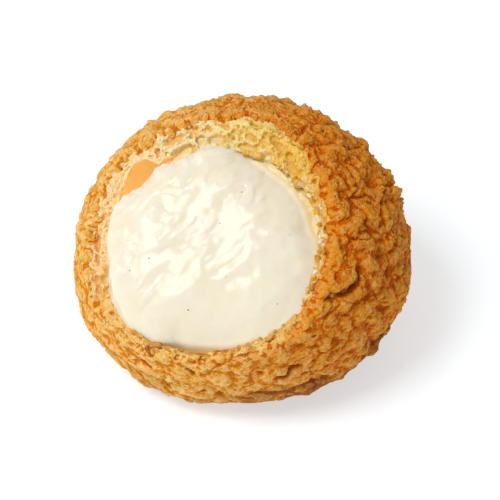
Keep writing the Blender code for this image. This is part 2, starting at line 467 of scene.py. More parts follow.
def crustRelief(dirs, points, aboveCrease):
    strength = crust["plainRelief"] + sum(s * patch(dirs, a, u, w) for a, u, w, s in crust["relief"])
    strength = np.clip(strength + 0.12 * noiseAt(points, 0.009, 3.0), 0.2, 1.1)
    bare = footShare(dirs)
    onCrust = 1 - bare * 0.15 * (1 - between(aboveCrease, -0.003, -0.0006))

    height, grain = bentPebbles(points, "nodules")
    nodule = height * strength ** 1.5 * grain
    height, grain = bentPebbles(points, "clumps")
    nodule += height * strength * (grain - 0.5)
    size, height = crust["lumps"]
    soft = 0.02 + 0.16 * between(noiseAt(points, 0.0075, 2.0), -0.25, 0.25)
    lump = height * (lumpsAt(points, size, 3.0, soft) + 0.32 * lumpsAt(points, size * 0.5, 1.0, soft))
    lump *= 0.34 + 0.66 * strength
    height, grain = bentPebbles(points * np.array((1.0, 1.0, 0.72)), "rounded")
    lump += height * (1.05 - strength) * (grain - 0.5)
    height, grain = bentPebbles(points, "knuckles")
    knuckle = height * (0.55 + 1.15 * strength) * grain
    size, height = crust["grit"]
    grit = height * noiseAt(points, size, 4.0) * (0.6 + 1.6 * strength)
    sunk = crust["sink"] * (0.35 + 0.65 * strength)
    lift = onCrust * (nodule + lump + knuckle + grit - sunk - 0.65 * crust["nodules"][1] * strength ** 1.5)

    # short cracks and pits all over
    near, second, lot = cellsAt(warped(points, 0.004, 1.0, 0.002), 0.0095, 6.0)
    open = between(noiseAt(points, 0.012, 8.0), -0.05, 0.25)
    lift -= onCrust * open * 0.0009 * bell(second - near, 0.035) * strength
    flat = points * np.array((1.0, 1.0, 1.4))
    near, _, lot = cellsAt(warped(flat, 0.003, 2.0, 0.001), 0.0034, 1.0)
    lift -= onCrust * (lot > 0.62) * 0.0009 * bell(near, 0.07 + 0.08 * lot) * (1.15 - 0.3 * strength)
    near, _, lot = cellsAt(warped(flat, 0.002, 4.0, 0.0006), 0.002, 9.0)
    lift -= onCrust * (lot > 0.72) * 0.0005 * bell(near, 0.15) * (0.5 + 0.7 * strength)

    # painted shade: darkening drawn along the cracks and into the pits, handed back for the colour
    shade = np.zeros(len(points))
    for path, width, deep, ledge in crust["cracks"]:
        apart, side, along = strokeAt(dirs + swirlAt(points, 0.002) * 0.012, path)
        taper = ease((1.02 - along) / 0.5)
        shade = np.maximum(shade, 600 * deep * taper * bell(apart, width * 0.8))
        lift -= taper * deep * bell(apart, width)
        lift += taper * ledge * (side < 0) * bell(apart, 0.0022)
    for around, up, spread, deep in crust["pits"]:
        lift -= deep * patch(dirs, around, up, spread)
        shade = np.maximum(shade, 500 * deep * patch(dirs, around, up, spread * 0.7))

    # the foot: level wrinkles and a few blisters
    level = points * np.array((1.0, 1.0, 3.4))
    foot = 0.0005 * np.abs(noiseAt(level, 0.0048, 7.0)) * 2 + 0.0003 * np.abs(noiseAt(level, 0.0021, 1.0)) * 2
    lift += (1 - onCrust) * (foot - 0.00045)
    seam = bell(aboveCrease + 0.0012 + 0.0012 * noiseAt(points, 0.006, 9.0), 0.00045)
    lift -= 0.0007 * seam * bare * between(noiseAt(points, 0.007, 5.0), -0.35, 0.1)
    return lift, strength, np.clip(shade, 0, 0.9)


def makeCrust():
    shape = unitBall(6)

    def edgeAngle(dirs):
        (angle,) = readRound(crust["edge"], bearingOf(dirs))
        return angle

    def creaseSide(dirs):
        # metres above the crease on the plain ball
        reach = bun["reach"]
        return dirs[:, 2] * reach + bun["belly"] - bun["creaseHeight"] - bun["creaseTilt"] * dirs[:, 0] * reach

    for share, above in crust["denser"]:
        denser(shape, lambda dirs: (fromAxis(dirs) > share * edgeAngle(dirs)) & (creaseSide(dirs) > above))
    made = makeObject("biscuitCrust", shape)
    mesh = made.data

    dirs = unit(pointsOf(mesh))
    bearing, polar = bearingOf(dirs), fromAxis(dirs)
    edge = crustEdge(bearing)
    share = polar / edge
    folded = share < 1.0
    lip = np.clip((1.0 - share) / crust["edgeBand"], 0.0, 1.0)
    depth = np.clip(1.0 - share / (1.0 - crust["edgeBand"]), 0.0, 1.0)
    inner = folded & (lip >= 1.0)

    # where each point's direction goes once it is folded in
    goes = np.where(folded, edge, polar)
    goes = np.where(inner, edge + (180.0 - edge) * depth, goes)
    goes = np.where(folded & ~inner, edge - 0.5 * np.sin(np.pi * lip), goes)
    dirs = sliceDirs(bearing, goes)
    radius, aboveCrease = crustForm(dirs)
    smooth = dirs * radius[:, None]
    lift, strength, shade = crustRelief(dirs, smooth, aboveCrease)
    thick = crust["skinShare"] * (radius - hollowRadius(dirs)) + 0.0003
    raised = crust["sink"] * (0.35 + 0.65 * strength) + 0.65 * crust["nodules"][1] * strength ** 1.5
    nearLip = between(goes - edge, 5.0, 0.5)
    crumbly = pebblesAt(smooth, 0.0019, 7.0) - bowlsAt(warped(smooth, 0.0016, 0.0, 0.0004), 0.0023, 4.0, 0.5)
    crumbly = 0.00072 * crumbly + 0.0003 * noiseAt(smooth, 0.0009, 2.0)
    lift += (0.9 * raised + crumbly) * nearLip
    lift = np.where(folded, lift * (1 - ease(lip)), lift)
    radius = radius + lift - np.where(folded, thick * ease(lip), 0.0)
    points = middle + dirs * radius[:, None]
    sway = swirlAt(smooth, 0.0026, 3.0) * 0.0003 + swirlAt(smooth, 0.0011, 5.0) * 0.00012
    swayShare = strength * np.where(folded, 1 - ease(lip), 1.0) * between(aboveCrease, -0.001, 0.001)
    points += sway * swayShare[:, None]
    setPoints(mesh, intoBox(points))

    edges = edgesOf(mesh)
    lift = lift * 1000
    bare = footShare(dirs)
    wander = 0.0034 * noiseAt(smooth, 0.006, 1.0) + 0.0022 * noiseAt(smooth, 0.002, 1.0)
    # darkening drawn into the colour: first the front right patch, browned and with painted shade under the crease
    scorch = 0.75 * (1 - between(aboveCrease + 1.3 * wander, -0.0065, 0.001)) * patch(dirs, *crust["scorchedAndShaded"])
    # painted shade along the crease where the foot shows
    scorch += 0.6 * bare * bell(aboveCrease + 0.0014 + wander, 0.0006)
    # the underside where it meets the floor: browning with painted shade
    scorch += 1 - between(points[:, 2] + 0.5 * wander, 0.0, 0.0016)
    # painted shade growing towards the bottom
    scorch += 0.42 * (1 - between(points[:, 2] + wander, 0.003, 0.012))
    setMasks(
        mesh,
        fineRelief=finer(lift, edges, 6) / (0.09 + 0.05 * strength),
        wideRelief=finer(lift, edges, 60) / (0.29 + 0.14 * strength),
        strength=strength,
        footMask=bare * (1 - between(aboveCrease + 1.3 * wander, -0.005, 0.0002)),
        # browner and darker towards the upper right: deeper baking with painted shade
        bakeMask=between(dirs @ towards(*crust["bakedMost"]), -0.4, 0.95),
        # with the painted shade of the cracks and pits added in
        scorchMask=np.clip(scorch + shade, 0, 1),
        lipMask=np.where(folded, 1.0, bell(polar - edge, 1.1)),
    )
    print("crust:", len(mesh.polygons), "faces")
    return made


# crumb round the slice

crumb = {
    "steps": 720,
    "rows": (34, 30, 14, 8),  # down the wall, across the rim, outside under the crust, and back
    "wallReach": 28.0,  # degrees that the wall goes in beyond the rim
    "sink": 0.0002,  # the rim lies this far below the plane
    "underCrust": 0.0007,
    "coveredSink": 0.0013,  # more where the crust lies over it
    "outerReach": 0.0075,
    # large, medium and small cells: how much longer round the slice, size, shift, share, and their swirl
    "cells": (
        (1.4, 0.003, 2, 0.85, (0.0026, 1), 0.001),
        (1, 0.0017, 3, 0.8, (0.0014, 2), 0.0006),
        (1, 0.0009, 5, 0.7, (0.0009, 4), 0.0003),
    ),
    # bearing, radius from the axis, size, how much longer round the slice, depth, and how brown inside
    "bubbles": (
        (120.4, 0.0219, 0.00125, 1, 0.0017, 0.35), (109.8, 0.0212, 0.0015, 1.4, 0.001, 0.1),
        (133.6, 0.0242, 0.00095, 2.7, 0.0009, 0.15), (145.6, 0.0243, 0.0008, 1, 0.001, 0.4),
        (134.5, 0.0206, 0.00165, 2, 0.0021, 0.05), (89.2, 0.02, 0.00095, 2.6, 0.0009, 0),
        (72.8, 0.0199, 0.00125, 1.6, 0.0012, 0), (81.1, 0.0224, 0.0008, 1.4, 0.0008, 0.05),
        (70.8, 0.0233, 0.00085, 1.9, 0.0009, 0.15), (57.5, 0.0216, 0.0012, 1.9, 0.0011, 0),
        (99, 0.0232, 0.0008, 1.3, 0.0007, 0.05), (91, 0.0226, 0.0007, 1.2, 0.0006, 0),
        (104.5, 0.024, 0.0006, 1.5, 0.0005, 0.1), (63, 0.0228, 0.0007, 1.3, 0.0007, 0),
        (5.8, 0.0238, 0.0006, 1.3, 0.0006, 0.2), (-142.4, 0.0306, 0.00105, 1, 0.001, 0.3),
        (-140.8, 0.0288, 0.0011, 1, 0.001, 0.2), (-137.4, 0.0309, 0.001, 1, 0.0009, 0.35),
        (-135.8, 0.0292, 0.001, 1, 0.0009, 0.3), (-159, 0.0288, 0.0009, 3, 0.001, 0.45),
        (-151, 0.0293, 0.0006, 2.4, 0.0008, 0.5), (-70, 0.0279, 0.00085, 1.6, 0.0014, 1),
        (-82, 0.0289, 0.0006, 6, 0.0009, 0.8), (-100, 0.0309, 0.0005, 3, 0.0005, 0.6),
        (-59, 0.0296, 0.00065, 4.5, 0.0009, 0.8), (-28, 0.0268, 0.0007, 2, 0.0008, 0.7),
    ),
    # bearing, depth of the cells, height of the fibres, then the colours of cells and of walls
    "zones": (
        (98, 0.0006, 0.00014, (222, 176, 60), (252, 228, 152)),
        (64, 0.00072, 0.00014, (217, 160, 32), (246, 199, 86)),
        (28, 0.00064, 0.00014, (211, 145, 24), (242, 189, 76)),
        (2, 0.00048, 0.00018, (206, 130, 26), (240, 182, 78)),
        (-25, 0.00048, 0.00018, (204, 126, 30), (242, 188, 84)),
        (-75, 0.00048, 0.00018, (214, 148, 52), (246, 206, 112)),
        (-120, 0.0005, 0.00022, (216, 142, 44), (248, 200, 104)),
        (-155, 0.00045, 0.00026, (242, 170, 88), (252, 224, 164)),
        (165, 0.00045, 0.00026, (243, 176, 96), (252, 224, 166)),
        (130, 0.0006, 0.0002, (234, 182, 88), (253, 234, 182)),
    ),
    "hole": (232, 178, 78),
    "brownHole": (190, 112, 46),
    # bearing, half its width and how softly it ends, for what lies at one place round the slice
    "gap": (167, 22, 8),
    "bare": (88, 30, 25),
    "strip": (-62, 42, 16),
    "wet": ((1.0, 8, 22, 14), (0.7, 55, 26, 14), (0.35, 120, 26, 14)),
}


def bunReach(dirs):
    return bunRadius(dirs)[0]


def onForm(bearing, polar, radiusOf, under=0.0):
    # points on the hollow or on the bun, or a little under it
    dirs = sliceDirs(bearing, polar)
    return dirs * (radiusOf(dirs) - under)[:, None]


def rimRadii(bearing):
    # where the hollow and the bun's outside meet the slice, from its axis
    found = []
    for radiusOf in (hollowRadius, bunReach):
        low, high = np.full(len(bearing), 25.0), np.full(len(bearing), 75.0)
        for _ in range(22):
            polar = (low + high) / 2
            above = radiusOf(sliceDirs(bearing, polar)) * np.cos(np.radians(polar)) > slicing["distance"]
            low, high = np.where(above, polar, low), np.where(above, high, polar)
        found.append(polar)
    return found


def ringShape(total, steps):
    # a grid bent into a ring round the slice's axis and closed both ways, with each vertex's row
    shape = bmesh.new()
    bmesh.ops.create_grid(shape, x_segments=total, y_segments=steps, size=1)
    rowLayer = shape.verts.layers.float.new("row")
    out, right, rise = Vector(sliceOut), Vector(sliceRight), Vector(sliceRise)
    for vertex in shape.verts:
        row = round((vertex.co.x + 1) / 2 * total) % total
        step = round((vertex.co.y + 1) / 2 * steps) % steps
        turn, way = 2 * math.pi * row / total, 2 * math.pi * step / steps
        side = right * math.cos(way) + rise * math.sin(way)
        vertex.co = side * (0.028 - 0.002 * math.cos(turn)) + out * (0.018 + 0.006 * math.sin(turn))
        vertex[rowLayer] = row
    bmesh.ops.remove_doubles(shape, verts=shape.verts, dist=0.000001)
    bmesh.ops.recalc_face_normals(shape, faces=shape.faces)
    return shape, rowLayer


def makeCrumb():
    wall, rim, outer, back = crumb["rows"]
    shape, rowLayer = ringShape(sum(crumb["rows"]), crumb["steps"])
    rows = np.array([vertex[rowLayer] for vertex in shape.verts])
    bearing = bearingOf(np.array([vertex.co for vertex in shape.verts]))
    made = makeObject("chouxCrumb", shape)
    mesh = made.data

    hollowEdge, bunEdge = rimRadii(bearing)

    def partOf(start, count):
        return np.clip((rows - start) / count, 0, 1)

    # wall: from deep inside up to the rim, closer together near the rim
    deepest = hollowEdge + crumb["wallReach"] * (1 - partOf(0, wall)) ** 1.35
    wallPoint = onForm(bearing, deepest, hollowRadius)
    # rim: across the slice
    level = slicing["distance"] - crumb["sink"]
    inside, outside = level * np.tan(np.radians(hollowEdge)), level * np.tan(np.radians(bunEdge))
    across = inside + (outside - inside) * partOf(wall, rim)
    rimPoint = sliceDirs(bearing, np.full(len(bearing), 90.0)) * across[:, None] + sliceOut * level
    # outside: down the bun just under the crust
    share, under = partOf(wall + rim, outer), crumb["underCrust"]
    outerSpan = np.degrees(crumb["outerReach"] / bun["reach"]) * 1.5
    outerPoint = onForm(bearing, bunEdge + outerSpan * share, bunReach, under * between(share, 0.0, 0.25))
    # back: through the wall to the start again
    backFrom = onForm(bearing, bunEdge + outerSpan, bunReach, under)
    backTo = onForm(bearing, hollowEdge + crumb["wallReach"], hollowRadius)
    backPoint = backFrom + (backTo - backFrom) * partOf(wall + rim + outer, back)[:, None]

    points = np.where((rows < wall)[:, None], wallPoint, rimPoint)
    points = np.where((rows >= wall + rim)[:, None], outerPoint, points)
    points = np.where((rows > wall + rim + outer)[:, None], backPoint, points)
    covered = between(fromAxis(points) - crustEdge(bearing), 0.2, 2.6) * (rows > wall)
    points -= unit(points) * (crumb["coveredSink"] * covered)[:, None]
    edges = edgesOf(mesh)
    for axis in range(3):
        points[:, axis] = smoothed(points[:, axis], edges, 3)
    setPoints(mesh, middle + points)
    normals = normalsOf(mesh)
    if np.mean(np.sum(normals * points, axis=1)[(rows > wall) & (rows < wall + rim)]) < 0:
        mesh.flip_normals()
        normals = -normals

    # masks by place
    shown = between(rows, 2, 8) * (1 - between(rows, wall + rim + outer - 4, wall + rim + outer))
    onWall = 1 - between(rows, wall - 5, wall + 1)

    def around(centre, half, soft):
        return between(apartRound(bearing, centre), half + soft, half)

    gap, bare = around(*crumb["gap"]) * onWall, around(*crumb["bare"])
    table = [(row[0], row[1], row[2], *tone(*row[3])[:3], *tone(*row[4])[:3]) for row in crumb["zones"]]
    cellDeep, fibreHigh, *tones = readRound(table, bearing)

    # a place unrolled along the slice, so that cells and fibres can lie round it
    seam = (bearing + 60) % 360
    rolled = np.stack((np.radians(seam) * 0.026, np.linalg.norm(offAxis(points), axis=1), points @ sliceOut), -1)
    seamless = between(np.minimum(seam, 360 - seam), 0.5, 3.0)
    bowls = []
    for longer, size, shift, share, swirl, amount in crumb["cells"]:
        bent = rolled + swirlAt(points, *swirl) * amount
        bowls.append(bowlsAt(bent / np.array((longer, 1.0, 1.0)), size, shift, share) * seamless)
    large, medium, small = bowls
    # fibres bend with the small cells
    fibre = np.clip(1 - np.abs(noiseAt(bent / np.array((3.0, 1.0, 1.0)), 0.00085, 8.0)) * 3.0, 0, 1)
    rough = np.abs(noiseAt(points, 0.0013, 5.0)) * 2
    lift = 0.0004 * noiseAt(points, 0.0017, 5.0) + 0.00014 * noiseAt(points, 0.0006, 2.0)
    lift += fibreHigh * fibre * seamless
    lift -= cellDeep * (1.5 * large + medium) + 0.00024 * small
    cells = np.clip(large + 0.8 * medium + 0.5 * small, 0, 1)
    lift *= shown * (1 - 0.96 * gap) * (1 - 0.6 * covered)
    hole, brown, drop = np.zeros((3, len(points)))
    for turn, reach, size, longer, deep, dark in crumb["bubbles"]:
        side = (bearing - turn + 180) % 360 - 180
        apart = np.stack((np.radians(side) * reach / longer, rolled[:, 1] - reach, rolled[:, 2] - level), -1)
        apart = np.linalg.norm(apart + swirlAt(points, 0.0014, turn) * 0.00022, axis=1) / size
        dip = np.sqrt(np.clip(1 - apart ** 2, 0, 1)) * shown
        inHole = between(apart, 1.12, 0.8)
        hole = np.maximum(hole, inHole)
        brown = np.maximum(brown, inHole * dark)
        lift = lift * (1 - dip) + 0.00012 * bell(apart - 1.15, 0.12)
        drop = np.maximum(drop, deep * dip)
    strip = around(*crumb["strip"]) * bell(rolled[:, 1] - inside - 0.0003, 0.0008) * shown
    strip *= between(noiseAt(points, 0.0026, 4.0), -0.35, 0.0)
    hole = np.maximum(hole, strip)
    brown = np.maximum(brown, 0.75 * strip)
    drop = np.maximum(drop, 0.0006 * strip)
    slope = bare * 0.0006 * between(rows, wall + rim * 0.4, wall + rim) * (rows <= wall + rim)
    points = points + normals * (lift - slope * shown)[:, None] - sliceOut * drop[:, None]
    setPoints(mesh, intoBox(middle + points))
    height = lift * 1000
    edgeSide = between(rolled[:, 1] - inside, 0.0, 0.0012)
    wet = sum(share * around(*place) for share, *place in crumb["wet"])
    nearCream = bell(rolled[:, 1] - (inside + 0.0002), 0.0011 + 0.0006 * noiseAt(points, 0.0021, 3.0))
    nearCream *= between(noiseAt(points, 0.0024, 6.0), -0.1, 0.12)
    setMasks(
        mesh,
        fineRelief=finer(height, edges, 5) / 0.1,
        wideRelief=finer(height, edges, 40) / 0.3,
        gapMask=gap,
        cellMask=cells,
        openMask=edgeSide * (1 - covered) * (rows > wall) * (rows < wall + rim + 6),
        holeMask=hole,
        brownMask=brown,
        wetMask=np.clip(wet * nearCream * between(rough + 0.5 * fibre, 0.3, 0.7), 0, 1),
    )
    for name, three in (("cellTone", tones[:3]), ("wallTone", tones[3:])):
        setColours(mesh, name, np.stack((*three, np.ones(len(points))), -1))
    print("crumb:", len(mesh.polygons), "faces")
    return made


# custard

custard = {
    "gap": -0.00015,  # reaches into the crumb, so no dark line shows between them
    "level": 0.0225,
    "moundTop": 0.0266,
    "moundEdge": 3.1,
    "fuller": 3.2,  # on the left
    "valley": 0.0009,  # how softly the mound runs into the cream round it
    # degrees round the slice, how far the mound reaches at the slice, the level of the cream beyond it
    "mound": (
        (-165, 0.0262, 0.021), (-148, 0.028, 0.0214), (-134, 0.0302, 0.0216), (-120, 0.0306, 0.0214),
        (-105, 0.0291, 0.02), (-90, 0.0264, 0.0185), (-76, 0.0254, 0.018), (-62, 0.0255, 0.0185),
        (-49, 0.0262, 0.02), (-30, 0.026, 0.0205), (-8, 0.0233, 0.021), (8, 0.0206, 0.0212), (18, 0.019, 0.0213),
        (30, 0.0183, 0.0214), (39, 0.0178, 0.0215), (53, 0.0172, 0.0215), (66, 0.0166, 0.0215),
        (80, 0.0167, 0.0215), (92, 0.0178, 0.0215), (101, 0.0186, 0.0214), (109, 0.0186, 0.0212),
        (118, 0.0189, 0.021), (130, 0.0184, 0.0205), (140, 0.0186, 0.02), (148, 0.0196, 0.0192),
        (154, 0.02, 0.0125), (160, 0.0198, 0.0125), (166, 0.0203, 0.0125), (173, 0.0216, 0.0125),
        (178, 0.0231, 0.0125), (184, 0.0246, 0.0195),
    ),
    "ridgeTurn": 60.0,  # degrees from the slice's right
    # strokes of three kinds: width, length, height
    "ridges": (0.0034, 0.0095, 0.00022),
    "skins": (0.0022, 0.006, 0.00018),
    "wrinkles": (0.0011, 0.003, 0.00006),
    "overhang": (-85, 70, 40),  # bearing, and how far from there it is gone and still full
    "lean": 0.074,  # slope that lifts the left side
    "denser": (60, 56),  # degrees from the slice's axis within which faces are cut finer
}


def custardRadius(dirs):
    wallReach = hollowRadius(dirs) - custard["gap"]
    rise = dirs @ sliceOut
    safeRise = np.maximum(rise, 0.001)
    across = np.sqrt(np.maximum(0.0, 1.0 - rise * rise))
    reach, floor = readRound(custard["mound"], bearingOf(dirs))
    leftward = between(np.cos(np.radians(bearingOf(dirs) - 190)), -0.3, 0.6)
    power = custard["moundEdge"] + custard["fuller"] * leftward
    moundRadius = reach * (1 - (custard["level"] / custard["moundTop"]) ** power) ** (-1.0 / power)
    mound = ((across / moundRadius) ** power + (safeRise / custard["moundTop"]) ** power) ** (-1.0 / power)
    inSlice = np.minimum(wallReach, -softMin(-mound, -floor / safeRise, custard["valley"]))
    return np.where(rise > 0, inSlice, wallReach), mound, floor / safeRise, wallReach


def makeCustard():
    shape = unitBall(6)
    for reach in custard["denser"]:
        denser(shape, lambda dirs: fromAxis(dirs) < reach)
    made = makeObject("custardFilling", shape)
    mesh = made.data
    dirs = unit(pointsOf(mesh))
    radius, mound, groove, wallReach = custardRadius(dirs)
    polar = fromAxis(dirs)
    bearing = bearingOf(dirs)
    points = dirs * radius[:, None]

    # the slice's own plane: along and across the strokes left by the nozzle
    turn = math.radians(custard["ridgeTurn"])
    right, rise = points @ sliceRight, points @ sliceRise
    along = right * math.cos(turn) + rise * math.sin(turn)
    across = -right * math.sin(turn) + rise * math.cos(turn)
    onTop = 1 - between(polar, 42, 50)
    shown = 1 - between(polar, 48, 54)
    leftSide = between(across, -0.012, 0.004)

    def flow(kind, shift, bend):
        # height of this kind, and a noise drawn out along the strokes
        size, length, height = custard[kind]
        place = np.stack((along / length, across / size, np.full(len(points), shift)), -1)
        return height, noiseAt(place + swirlAt(points, 0.008, shift) * bend, 1.0)

    height, ridge = flow("ridges", 1.3, 0.55)
    lift = height * 2.0 * ridge * onTop * (0.45 + 0.55 * leftSide)
    height, skin = flow("skins", 4.1, 0.9)
    folded = onTop * (0.25 + 0.75 * leftSide) * between(noiseAt(points, 0.006, 2.0), -0.3, 0.1)
    lift += height * folded * (between(skin, -0.05, 0.05) + 0.6 * between(skin, 0.16, 0.24))
    height, wrinkle = flow("wrinkles", 7.3, 1.2)
    lift += height * 2.0 * wrinkle * folded
    lift -= custard["lean"] * softMin(right, np.full(len(points), 0.004), 0.004) * (1 - between(polar, 44, 52))
    lift += 0.00012 * noiseAt(points, 0.0022, 7.0) * shown
    lift += 0.00035 * noiseAt(points, 0.0075, 4.0) * shown
    radius = radius + lift
    # a slight overhang on the lower rim
    bottom, far, near = custard["overhang"]
    low = between(apartRound(bearing, bottom), far, near)
    radius = radius + low * 0.0002 * bell(polar - 50.5, 1.6)
    setPoints(mesh, intoBox(middle + dirs * radius[:, None]))
    edges = edgesOf(mesh)
    film = np.clip((groove - mound) / 0.0005, 0, 1) * (groove < wallReach) * (polar < 60)
    setMasks(mesh, filmMask=smoothed(film, edges, 6))
    reach, _ = readRound(custard["mound"], bearing)
    contact = smoothed(between(np.hypot(right, rise) / reach, 0.995, 1.04) * (polar < 60), edges, 4)
    contact = contact * (1 - readMask(mesh, "filmMask"))
    setMasks(mesh, contactMask=contact, wideRelief=finer(lift * 1000, edges, 60) / 0.3)
    print("custard:", len(mesh.polygons), "faces")
    return made


# seeds and grains

seeds = {
    # bearing, radius from the slice's axis, size
    "spots": (
        (70, 0.0098, 0.0004), (40, 0.0012, 0.0003), (-137, 0.0166, 0.00034), (-90, 0.02, 0.00042),
        (-136, 0.0216, 0.00028), (-34, 0.0226, 0.0003), (-98, 0.0284, 0.00028), (150, 0.015, 0.00024),
        (10, 0.017, 0.00022), (-60, 0.012, 0.00022),
    ),
    "sunk": 0.25,
}

grains = {"count": 9800, "small": 0.0002, "large": 0.00052, "sunk": 0.45, "seed": 11}
tornCrumbs = {"count": 8500, "small": 0.00012, "large": 0.00042, "sunk": 0.25, "seed": 23}


def rawPoints(made):
    return pointsOf(made.data) - middle


def makeSeeds(host):
    rand = random.Random(5)
    surface = rawPoints(host)
    flat, top = offAxis(surface), fromAxis(surface) < 60
    shape = bmesh.new()
    for bearing, reach, size in seeds["spots"]:
        flatPlace = sliceDirs(np.array([float(bearing)]), np.array([90.0]))[0] * reach
        apart = np.linalg.norm(flat - flatPlace, axis=1) + (~top) * 1.0
        spot = Vector(surface[int(np.argmin(apart))] + middle)
        out = (spot - Vector(middle)).normalized()
        turn = Matrix.Rotation(rand.uniform(0, 6.3), 4, "Z") @ Matrix.Rotation(rand.uniform(-0.5, 0.5), 4, "X")
        stretch = Matrix.Diagonal((size * 0.62, size * rand.uniform(0.4, 0.5), size * 0.42, 1.0))
        place = Matrix.Translation(spot - out * size * seeds["sunk"])
        place = place @ out.to_track_quat("Z", "Y").to_matrix().to_4x4()
        bmesh.ops.create_icosphere(shape, subdivisions=2, radius=1.0, matrix=place @ turn @ stretch)
    made = makeObject("vanillaSeeds", shape)
    print("seeds:", len(made.data.polygons), "faces")
    return made


def scatterGrains(name, host, chance, made):
    # rough little grains pressed into the host's skin: their object, and the host's vertex behind each corner
    rand = np.random.default_rng(made["seed"])
    places, normals = pointsOf(host.data), normalsOf(host.data)
    order = np.flatnonzero(chance > 0)
    rand.shuffle(order)
    order = order[rand.random(len(order)) < chance[order]][: made["count"]]
    shape = unitBall(1)
    corners = len(shape.verts)
    while len(shape.verts) < corners * len(order):
        bmesh.ops.duplicate(shape, geom=shape.verts[:] + shape.edges[:] + shape.faces[:])
    shape.verts.ensure_lookup_table()
    bmesh.ops.delete(shape, geom=shape.verts[corners * len(order):], context="VERTS")
    piece = makeObject(name, shape)
    count = len(order)
    size = made["small"] + (made["large"] - made["small"]) * rand.random(count) ** 1.5
    stretch = rand.uniform(0.55, 1.0, (count, 1, 3))
    turn = np.linalg.qr(rand.normal(size=(count, 3, 3)))[0]
    ball = pointsOf(piece.data).reshape(count, corners, 3) * stretch
    ball = np.einsum("nij,nkj->nki", turn, ball) + rand.uniform(-0.2, 0.2, (count, corners, 3))
    out = normals[order][:, None, :]
    above = np.sum(ball * out, axis=2)
    spot = places[order][:, None, :] - out * size[:, None, None] * made["sunk"]
    points = (spot + ball * size[:, None, None]).reshape(-1, 3)
    setPoints(piece.data, intoBox(points, 0.0003))
    # each grain is paler on its outer side and takes the crevice tone underneath as painted shade, varied at random
    setMasks(piece.data, fineRelief=(above * 0.7 + rand.uniform(-0.6, 1.0, (count, 1))).ravel())
    print(name + ":", len(piece.data.polygons), "faces")
    return piece, np.repeat(order, corners)


def makeGrains(host):
    mesh = host.data
    strength, wide = readMask(mesh, "strength"), readMask(mesh, "wideRelief")
    torn = readMask(mesh, "lipMask")
    usable = (readMask(mesh, "footMask") < 0.2) & (torn < 0.999) & (wide > -0.7) & (pointsOf(mesh)[:, 2] > 0.004)
    chance = usable * np.clip(0.35 + 0.65 * strength + torn, 0, 1)
    piece, order = scatterGrains("crustGrains", host, chance, grains)
    # the crust's browning with painted shade on the upper right, for the grains too
    bake = readMask(mesh, "bakeMask")
    # the grains take the crust's wide relief too, and with it its painted shade in the dips
    setMasks(piece.data, lipMask=torn[order], bakeMask=bake[order], wideRelief=wide[order] * 0.5 + 0.45)
    return piece


def makeTornCrumbs(host):
    mesh = host.data
    chance = readMask(mesh, "openMask") * (1 - readMask(mesh, "gapMask")) * (1 - readMask(mesh, "holeMask"))
    top = between(np.abs(bearingOf(rawPoints(host)) - 66), 62, 40)
    chance = chance * (readMask(mesh, "cellMask") < 0.5) * (1 - 0.75 * top)
    piece, order = scatterGrains("tornCrumbs", host, chance, tornCrumbs)
    wetter = 0.3 * ((order * 0.618) % 1.0 > 0.6)
    setMasks(piece.data, wetMask=np.maximum(readMask(mesh, "wetMask")[order], wetter))
    for name in ("cellTone", "wallTone"):
        colours = np.empty(len(mesh.vertices) * 4, np.float32)
        mesh.attributes[name].data.foreach_get("color", colours)
        setColours(piece.data, name, colours.reshape(-1, 4)[order])
    return piece


# materials


def plug(tree, node, inputs):
    # links a socket, sets a value
    for name, value in inputs.items():
        if isinstance(value, bpy.types.NodeSocket):
            tree.links.new(value, node.inputs[name])
        else:
            node.inputs[name].default_value = value


def add(tree, kind, inputs=None, **settings):
    node = tree.nodes.new(kind)
    for name, value in settings.items():
        setattr(node, name, value)
    plug(tree, node, inputs or {})
    return node


def mixColour(tree, share, first, second, blend="MIX"):
    node = add(tree, "ShaderNodeMix", {0: share, 6: first, 7: second}, data_type="RGBA", blend_type=blend)
    return node.outputs[2]


def layered(tree, colour, *layers):
    # each layer is a share and the colour laid over what is there
    for share, over in layers:
        colour = mixColour(tree, share, colour, over)
    return colour


def ramp(tree, value, low, high, outLow=0.0, outHigh=1.0):
    inputs = {0: value, 1: low, 2: high, 3: outLow, 4: outHigh}
    return add(tree, "ShaderNodeMapRange", inputs, interpolation_type="SMOOTHSTEP").outputs[0]


def sums(tree, first, second, how="ADD"):
    return add(tree, "ShaderNodeMath", {0: first, 1: second}, operation=how).outputs[0]


def times(tree, first, second):
    return sums(tree, first, second, "MULTIPLY")


def read(tree, name, output="Fac"):
    return add(tree, "ShaderNodeAttribute", attribute_name=name).outputs[output]


def pattern(tree, kind, **inputs):
    # a texture in the object's own coordinates
    place = add(tree, "ShaderNodeTexCoord").outputs["Object"]
    return add(tree, "ShaderNodeTex" + kind, {"Vector": place, **inputs}).outputs[0]


def relief(tree, wideShare, fineShare):
    # how far a spot stands out, before its grain is added
    wide, fine = read(tree, "wideRelief"), read(tree, "fineRelief")
    return sums(tree, times(tree, wide, wideShare), times(tree, fine, fineShare))


def bumped(tree, shader, strength, distance, height):
    bump = add(tree, "ShaderNodeBump", {"Strength": strength, "Distance": distance, "Height": height})
    plug(tree, shader, {"Normal": bump.outputs[0]})


